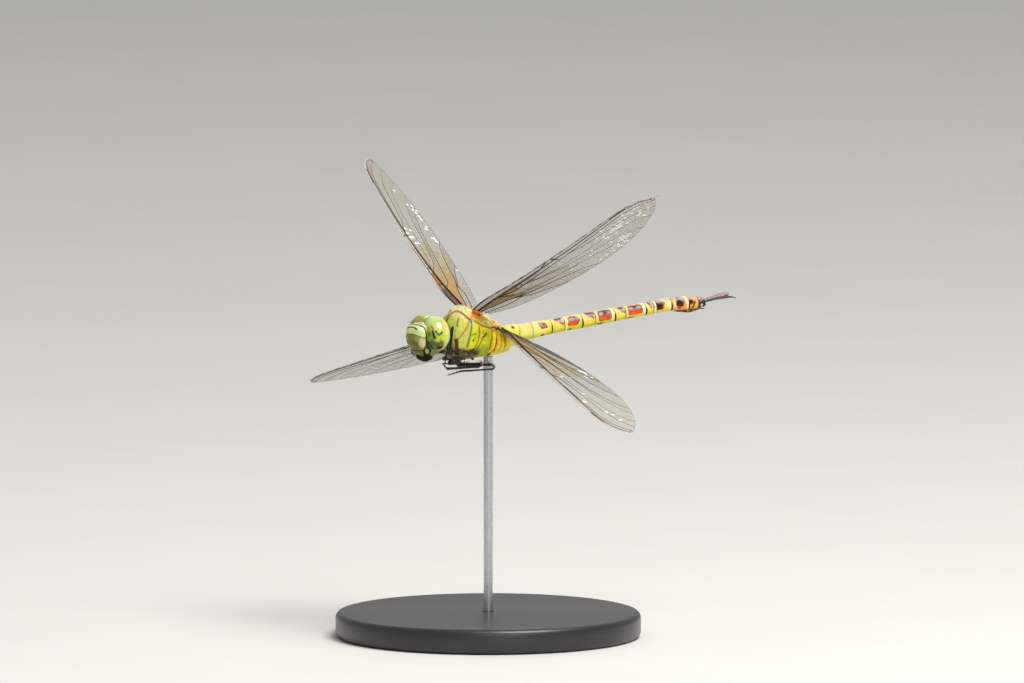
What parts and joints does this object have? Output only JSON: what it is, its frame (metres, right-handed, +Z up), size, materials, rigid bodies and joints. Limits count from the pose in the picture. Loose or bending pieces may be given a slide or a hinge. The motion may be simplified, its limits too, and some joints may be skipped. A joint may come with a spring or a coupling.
{
  "type": "dragonfly",
  "caption": "Life-size hawker dragonfly in flight, wings spread and legs folded, held above a round display base by a slim rod.",
  "frame": {"origin": "centre of the underside of the stand's round base", "axes": "+Z up; the dragonfly's head points to -Y and its left side is +X"},
  "size_m": [0.0952, 0.0902, 0.0905],
  "materials": {
    "head_cuticle": "satin cuticle",
    "face_cuticle": "satin cuticle",
    "eye": "glossy, fine facets",
    "mouthparts": "glossy",
    "thorax_cuticle": "satin cuticle",
    "abdomen_cuticle": "satin cuticle",
    "leg_cuticle": "glossy",
    "tail_plate": "satin",
    "wing_membrane": "thin clear film",
    "wing_vein": "satin",
    "body_hair": "fine pale hair",
    "stand_base": "satin black",
    "stand_rod": "satin"
  },
  "bodies": {
    "root": {"head": "head_cuticle", "eye_left": "eye", "eye_right": "eye", "frons": "face_cuticle", "clypeus": "face_cuticle", "labrum": "face_cuticle", "labium": "mouthparts", "mandible_left": "mouthparts", "mandible_right": "mouthparts", "antenna_left": "leg_cuticle", "antenna_right": "leg_cuticle", "neck": "head_cuticle", "prothorax": "thorax_cuticle", "thorax": "thorax_cuticle", "abdomen_01": "abdomen_cuticle", "abdomen_02": "abdomen_cuticle", "abdomen_03": "abdomen_cuticle", "abdomen_04": "abdomen_cuticle", "abdomen_05": "abdomen_cuticle", "abdomen_06": "abdomen_cuticle", "abdomen_07": "abdomen_cuticle", "abdomen_08": "abdomen_cuticle", "abdomen_09": "abdomen_cuticle", "abdomen_10": "abdomen_cuticle", "ovipositor": "mouthparts", "cercus_left": "tail_plate", "cercus_right": "tail_plate", "wing_fore_left": "wing_membrane", "wing_fore_right": "wing_membrane", "wing_hind_left": "wing_membrane", "wing_hind_right": "wing_membrane", "leg_fore_left": "leg_cuticle", "leg_fore_right": "leg_cuticle", "leg_mid_left": "leg_cuticle", "leg_mid_right": "leg_cuticle", "leg_hind_left": "leg_cuticle", "leg_hind_right": "leg_cuticle", "stand_base": "stand_base", "stand_rod": "stand_rod"}
  },
  "joints": []
}
